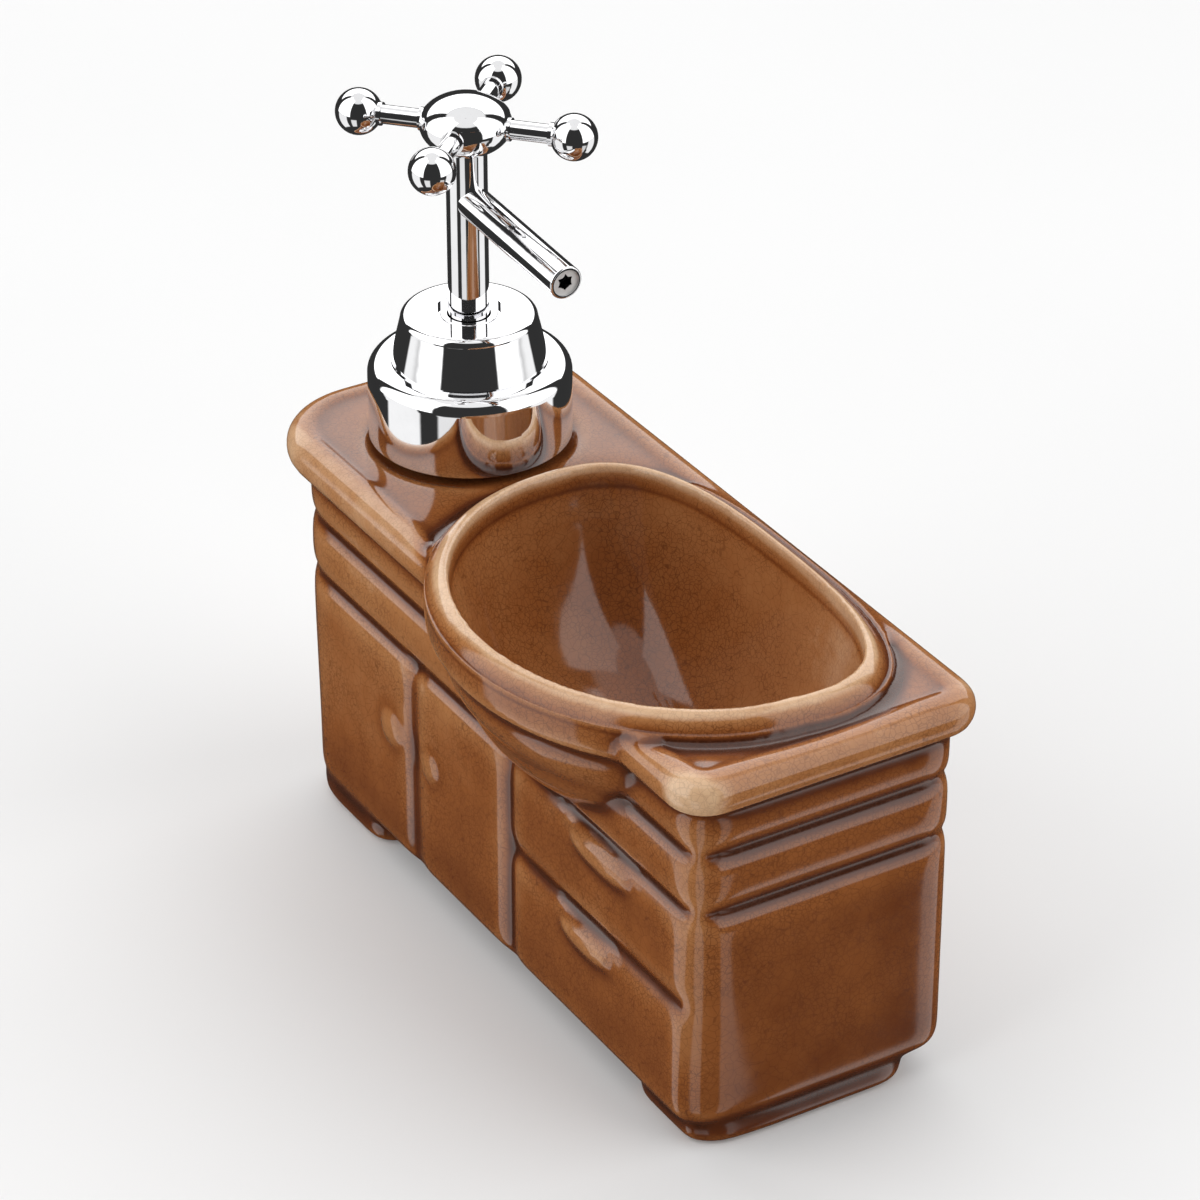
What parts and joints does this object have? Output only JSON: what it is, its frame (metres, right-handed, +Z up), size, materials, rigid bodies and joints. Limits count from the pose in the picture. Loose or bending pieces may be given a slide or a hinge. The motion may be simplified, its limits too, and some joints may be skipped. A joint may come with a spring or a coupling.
{
  "type": "soap dispenser",
  "caption": "Ceramic washstand-shaped liquid soap dispenser with an open oval basin for a sponge and a lotion pump made like an old tap with a cross handle",
  "frame": {"origin": "centre of the whole footprint, worktop and basin bulge included, on the surface the feet stand on", "axes": "+X from the pump end to the basin end, +Y to the plain back, +Z up; the basin bulges out towards -Y"},
  "size_m": [0.1942, 0.0904, 0.1851],
  "materials": {
    "glaze": "gloss crackle glaze, darker where it pools",
    "collar_chrome": "mirror plating on moulded plastic",
    "tap_chrome": "mirror",
    "white_polypropylene": "satin",
    "natural_polyethylene": "milky, satin",
    "seal_rubber": "matt",
    "steel": "bright",
    "nozzle_grey": "satin"
  },
  "bodies": {
    "cabinet": {"ceramic_body": "glaze"},
    "neck": {"neck_insert": "natural_polyethylene", "neck_seal": "seal_rubber"},
    "pump_engine": {"pump_cylinder": "natural_polyethylene", "pump_gasket": "seal_rubber", "stem_guide": "white_polypropylene", "dip_tube": "natural_polyethylene", "return_spring": "steel"},
    "closure_cap": {"closure": "white_polypropylene", "collar_cover": "collar_chrome", "collar_cone": "collar_chrome", "column_bush": "tap_chrome"},
    "plunger": {"piston": "natural_polyethylene"},
    "tap_head": {"piston_stem": "white_polypropylene", "column": "tap_chrome", "column_liner": "white_polypropylene", "spout": "tap_chrome", "spout_liner": "white_polypropylene", "spout_nozzle": "nozzle_grey", "handle_hub": "tap_chrome", "handle_cap": "tap_chrome", "hub_screw": "steel", "handle_arm_a": "tap_chrome", "handle_arm_b": "tap_chrome", "handle_arm_c": "tap_chrome", "handle_arm_d": "tap_chrome", "handle_ball_a": "tap_chrome", "handle_ball_b": "tap_chrome", "handle_ball_c": "tap_chrome", "handle_ball_d": "tap_chrome"},
    "inlet_valve": {"inlet_ball": "steel"},
    "outlet_valve": {"outlet_ball": "steel"}
  },
  "joints": [
    {"name": "neck_pull", "type": "slide", "parent": "cabinet", "child": "neck", "axis": [0, 0, 1], "range_m": [0, 0.09]},
    {"name": "closure_rise", "type": "slide", "parent": "neck", "child": "pump_engine", "axis": [0, 0, 1], "range_m": [0, 0.006]},
    {"name": "closure_turn", "type": "hinge", "parent": "pump_engine", "child": "closure_cap", "pos_m": [-0.05995, 0.00695, 0.1], "axis": [0, 0, 1], "range_deg": [0, 504]},
    {"name": "pump_press", "type": "slide", "parent": "pump_engine", "child": "plunger", "axis": [0, 0, -1], "range_m": [0, 0.0125], "stiffness_N_per_m": 600, "springref_m": -0.008, "deforming": ["return_spring"]},
    {"name": "tap_swivel", "type": "hinge", "parent": "plunger", "child": "tap_head", "pos_m": [-0.05995, 0.00695, 0.1], "axis": [0, 0, 1], "continuous": true},
    {"name": "inlet_ball_lift", "type": "slide", "parent": "pump_engine", "child": "inlet_valve", "axis": [0, 0, 1], "range_m": [0, 0.0015]},
    {"name": "outlet_ball_lift", "type": "slide", "parent": "tap_head", "child": "outlet_valve", "axis": [0, 0, 1], "range_m": [0, 0.0012]}
  ],
  "couplings": [
    {"joint": "closure_rise", "follows": "closure_turn", "m_per_rad": 0.0006737}
  ]
}
